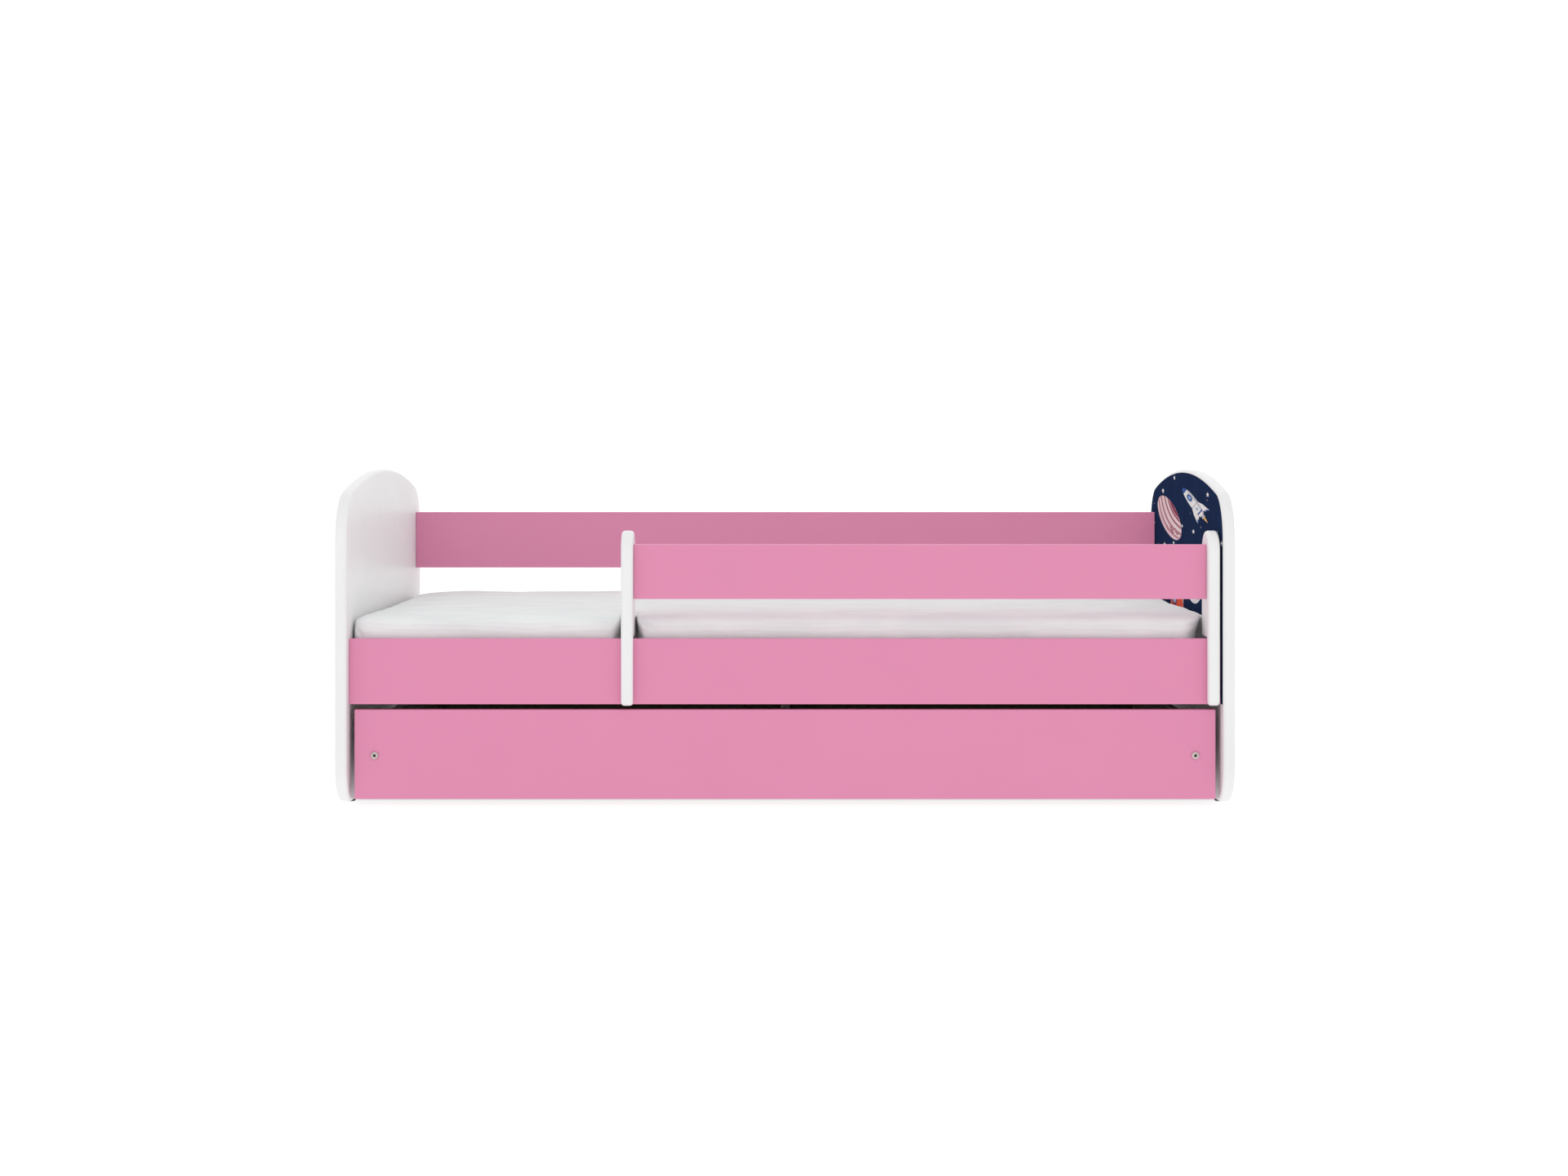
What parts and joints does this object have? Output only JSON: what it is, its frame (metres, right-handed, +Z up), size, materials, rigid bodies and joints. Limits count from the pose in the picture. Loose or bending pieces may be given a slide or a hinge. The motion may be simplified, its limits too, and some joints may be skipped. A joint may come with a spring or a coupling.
{
  "type": "toddler bed",
  "caption": "Low single bed with arched end panels, a fixed guard rail, a rear rail, a slatted base, a mattress and a wide under-bed drawer on castors.",
  "frame": {"origin": "on the floor under the middle of the bed", "axes": "+X along the bed towards the decorated end panel, -Y out of the open front, +Z up"},
  "size_m": [1.644, 0.88, 0.615],
  "materials": {
    "white_lacquer": "satin",
    "pink_laminate": "satin",
    "printed_sheet": "satin",
    "pine": "matte",
    "drawer_board": "matte",
    "hardboard": "matte",
    "nickel_bolt": "satin",
    "zinc_steel": "satin",
    "black_plastic": "matte",
    "wheel_plastic": "matte",
    "mattress_cover": "matte"
  },
  "bodies": {
    "bed_frame": {"left_end_panel": "white_lacquer", "right_end_panel": "white_lacquer", "panel_print_sheet": "printed_sheet", "glide_front_left": "black_plastic", "glide_front_right": "black_plastic", "glide_rear_left": "black_plastic", "glide_rear_right": "black_plastic", "front_side_board": "pink_laminate", "rear_side_board": "pink_laminate", "rear_top_rail": "pink_laminate", "guard_post_left": "white_lacquer", "guard_post_right": "white_lacquer", "guard_board": "pink_laminate", "guard_screw_left": "zinc_steel", "guard_screw_right": "zinc_steel", "front_board_bolt_left_lower": "nickel_bolt", "front_board_bolt_left_upper": "nickel_bolt", "rear_board_bolt_left_lower": "nickel_bolt", "rear_board_bolt_left_upper": "nickel_bolt", "top_rail_bolt_left_lower": "nickel_bolt", "top_rail_bolt_left_upper": "nickel_bolt", "front_board_bolt_right_lower": "nickel_bolt", "front_board_bolt_right_upper": "nickel_bolt", "rear_board_bolt_right_lower": "nickel_bolt", "rear_board_bolt_right_upper": "nickel_bolt", "top_rail_bolt_right_lower": "nickel_bolt", "top_rail_bolt_right_upper": "nickel_bolt", "front_ledger": "pine", "rear_ledger": "pine", "slat_01": "pine", "slat_02": "pine", "slat_03": "pine", "slat_04": "pine", "slat_05": "pine", "slat_06": "pine", "slat_07": "pine", "slat_08": "pine", "slat_09": "pine", "slat_10": "pine"},
    "drawer": {"drawer_front": "pink_laminate", "drawer_left_side": "drawer_board", "drawer_right_side": "drawer_board", "drawer_back": "drawer_board", "drawer_divider": "drawer_board", "drawer_floor": "hardboard", "drawer_bolt_left": "nickel_bolt", "drawer_bolt_right": "nickel_bolt", "castor_fork_front_left": "zinc_steel", "castor_fork_front_right": "zinc_steel", "castor_fork_rear_left": "zinc_steel", "castor_fork_rear_right": "zinc_steel", "castor_axle_front_left": "zinc_steel", "castor_axle_front_right": "zinc_steel", "castor_axle_rear_left": "zinc_steel", "castor_axle_rear_right": "zinc_steel"},
    "wheel_front_left": {"castor_wheel_front_left": "wheel_plastic"},
    "wheel_front_right": {"castor_wheel_front_right": "wheel_plastic"},
    "wheel_rear_left": {"castor_wheel_rear_left": "wheel_plastic"},
    "wheel_rear_right": {"castor_wheel_rear_right": "wheel_plastic"},
    "mattress": {"mattress": "mattress_cover"}
  },
  "joints": [
    {"name": "drawer_slide", "type": "slide", "parent": "bed_frame", "child": "drawer", "axis": [0, -1, 0], "range_m": [0, 0.75]},
    {"name": "wheel_front_left_roll", "type": "hinge", "parent": "drawer", "child": "wheel_front_left", "pos_m": [-0.753, -0.3167, 0.018], "axis": [1, 0, 0], "continuous": true},
    {"name": "wheel_front_right_roll", "type": "hinge", "parent": "drawer", "child": "wheel_front_right", "pos_m": [0.753, -0.3167, 0.018], "axis": [1, 0, 0], "continuous": true},
    {"name": "wheel_rear_left_roll", "type": "hinge", "parent": "drawer", "child": "wheel_rear_left", "pos_m": [-0.753, 0.2633, 0.018], "axis": [1, 0, 0], "continuous": true},
    {"name": "wheel_rear_right_roll", "type": "hinge", "parent": "drawer", "child": "wheel_rear_right", "pos_m": [0.753, 0.2633, 0.018], "axis": [1, 0, 0], "continuous": true},
    {"name": "mattress_lift", "type": "slide", "parent": "bed_frame", "child": "mattress", "axis": [0, 0, 1], "range_m": [0, 0.045]}
  ],
  "couplings": [
    {"joint": "wheel_front_left_roll", "follows": "drawer_slide", "rad_per_m": 55.556},
    {"joint": "wheel_front_right_roll", "follows": "drawer_slide", "rad_per_m": 55.556},
    {"joint": "wheel_rear_left_roll", "follows": "drawer_slide", "rad_per_m": 55.556},
    {"joint": "wheel_rear_right_roll", "follows": "drawer_slide", "rad_per_m": 55.556}
  ]
}
